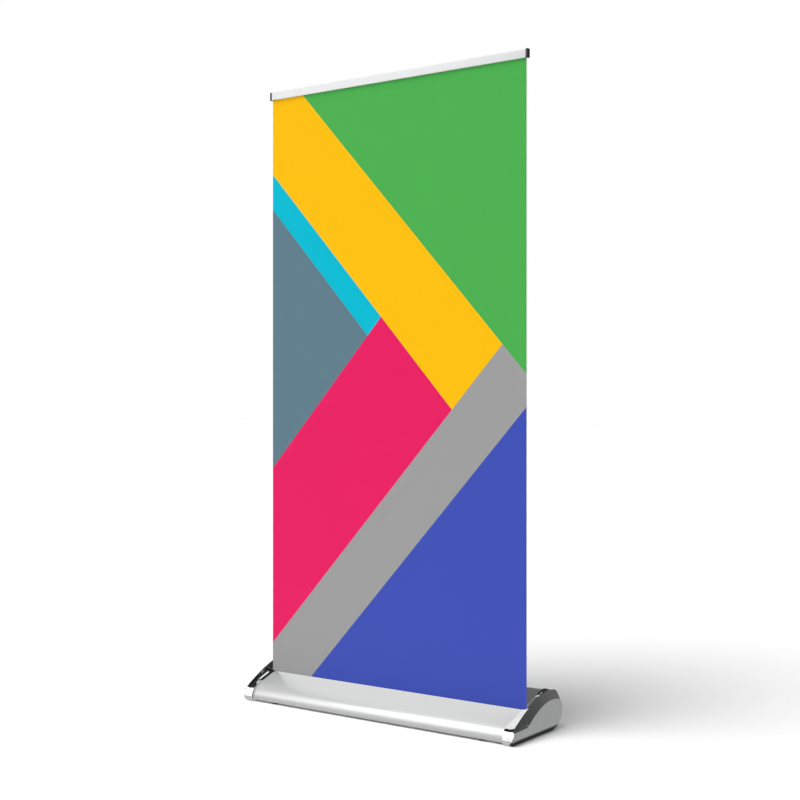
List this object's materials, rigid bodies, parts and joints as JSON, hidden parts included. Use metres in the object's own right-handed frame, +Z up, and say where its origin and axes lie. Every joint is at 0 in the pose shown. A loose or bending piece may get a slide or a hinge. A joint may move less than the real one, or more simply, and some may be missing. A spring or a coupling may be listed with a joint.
{
  "type": "roll-up banner stand",
  "caption": "Free-standing roll-up banner: printed sheet drawn from a spring roller in a teardrop metal base, held up by a clamp rail on a telescopic pole.",
  "frame": {"origin": "on the floor, under the centre of the whole stand's box", "axes": "+Z up, +X to the right along the base as seen from the front, -Y to the front (the printed side)"},
  "size_m": [1.052, 0.295, 2.0575],
  "materials": {
    "satin_aluminium": "satin anodised",
    "dark_aluminium": "dark grey anodised",
    "chrome_plate": "chromed plastic moulding, mirror bright",
    "zinc_steel": "zinc plated",
    "grey_plastic": "moulded, fine texture",
    "black_plastic": "moulded, fine texture",
    "black_rubber": "matt",
    "printed_film": "satin printed film"
  },
  "bodies": {
    "base": {"base_front_shell": "satin_aluminium", "base_rear_cover": "dark_aluminium", "slot_guide": "satin_aluminium", "slot_liner": "black_plastic", "end_cap_left": "chrome_plate", "end_plate_left": "grey_plastic", "plate_screw_left_nose": "zinc_steel", "plate_screw_left_slope": "zinc_steel", "plate_screw_left_crest": "zinc_steel", "end_cap_right": "chrome_plate", "end_plate_right": "grey_plastic", "plate_screw_right_nose": "zinc_steel", "plate_screw_right_slope": "zinc_steel", "plate_screw_right_crest": "zinc_steel", "axle_bush": "black_plastic", "spring_shaft": "zinc_steel", "torsion_spring": "zinc_steel", "pole_socket": "black_plastic", "socket_screw_1": "zinc_steel", "socket_screw_2": "zinc_steel", "cover_screw_1": "zinc_steel", "cover_screw_2": "zinc_steel", "cover_screw_3": "zinc_steel", "cover_screw_4": "zinc_steel", "pole_lower": "satin_aluminium", "pole_collet_lower": "grey_plastic", "printed_sheet": "printed_film"},
    "roller": {"roller_tube": "satin_aluminium", "wound_sheet": "printed_film", "roller_plug_right": "black_plastic", "roller_plug_left": "black_plastic", "spring_anchor": "black_plastic"},
    "pole_middle": {"pole_middle": "satin_aluminium", "pole_collet_upper": "grey_plastic"},
    "pole_upper": {"pole_upper": "satin_aluminium", "pole_top_plug": "black_plastic"},
    "rail": {"rail_rear_bar": "satin_aluminium", "rail_hinge_rod": "zinc_steel", "rail_hanger": "black_plastic", "rail_end_cap_left": "black_plastic", "rail_end_cap_right": "black_plastic", "hanger_screw_1": "zinc_steel", "hanger_screw_2": "zinc_steel"},
    "rail_jaw": {"rail_front_jaw": "satin_aluminium", "rail_grip_strip": "black_rubber"},
    "collar_lower": {"pole_collar_lower": "black_plastic"},
    "collar_upper": {"pole_collar_upper": "black_plastic"},
    "foot_front_left": {"foot_pad_front_left": "black_rubber", "foot_stud_front_left": "zinc_steel"},
    "foot_front_right": {"foot_pad_front_right": "black_rubber", "foot_stud_front_right": "zinc_steel"},
    "foot_rear_left": {"foot_pad_rear_left": "black_rubber", "foot_stud_rear_left": "zinc_steel"},
    "foot_rear_right": {"foot_pad_rear_right": "black_rubber", "foot_stud_rear_right": "zinc_steel"}
  },
  "joints": [
    {"name": "pole_middle_slide", "type": "slide", "parent": "base", "child": "pole_middle", "axis": [0, 0, 1], "range_m": [-0.6, 0], "deforming": ["printed_sheet"]},
    {"name": "pole_upper_slide", "type": "slide", "parent": "pole_middle", "child": "pole_upper", "axis": [0, 0, 1], "range_m": [-0.6, 0]},
    {"name": "roller_spin", "type": "hinge", "parent": "base", "child": "roller", "pos_m": [0, -0.0444, 0.038], "axis": [1, 0, 0], "range_deg": [-3850, 0]},
    {"name": "rail_lift", "type": "slide", "parent": "pole_upper", "child": "rail", "axis": [0, 0, 1], "range_m": [0, 0.012]},
    {"name": "rail_jaw_hinge", "type": "hinge", "parent": "rail", "child": "rail_jaw", "pos_m": [0, -0.0292, 2.052], "axis": [-1, 0, 0], "range_deg": [0, 40]},
    {"name": "collar_lower_twist", "type": "hinge", "parent": "base", "child": "collar_lower", "pos_m": [0, 0.0195, 0.74], "axis": [0, 0, 1], "range_deg": [0, 90]},
    {"name": "collar_upper_twist", "type": "hinge", "parent": "pole_middle", "child": "collar_upper", "pos_m": [0, 0.0195, 1.4], "axis": [0, 0, 1], "range_deg": [0, 90]},
    {"name": "foot_level_front_left", "type": "slide", "parent": "base", "child": "foot_front_left", "axis": [0, 0, -1], "range_m": [0, 0.006]},
    {"name": "foot_level_front_right", "type": "slide", "parent": "base", "child": "foot_front_right", "axis": [0, 0, -1], "range_m": [0, 0.006]},
    {"name": "foot_level_rear_left", "type": "slide", "parent": "base", "child": "foot_rear_left", "axis": [0, 0, -1], "range_m": [0, 0.006]},
    {"name": "foot_level_rear_right", "type": "slide", "parent": "base", "child": "foot_rear_right", "axis": [0, 0, -1], "range_m": [0, 0.006]}
  ],
  "couplings": [
    {"joint": "pole_upper_slide", "follows": "pole_middle_slide", "ratio": 1},
    {"joint": "roller_spin", "follows": "pole_middle_slide", "rad_per_m": 111.73}
  ]
}
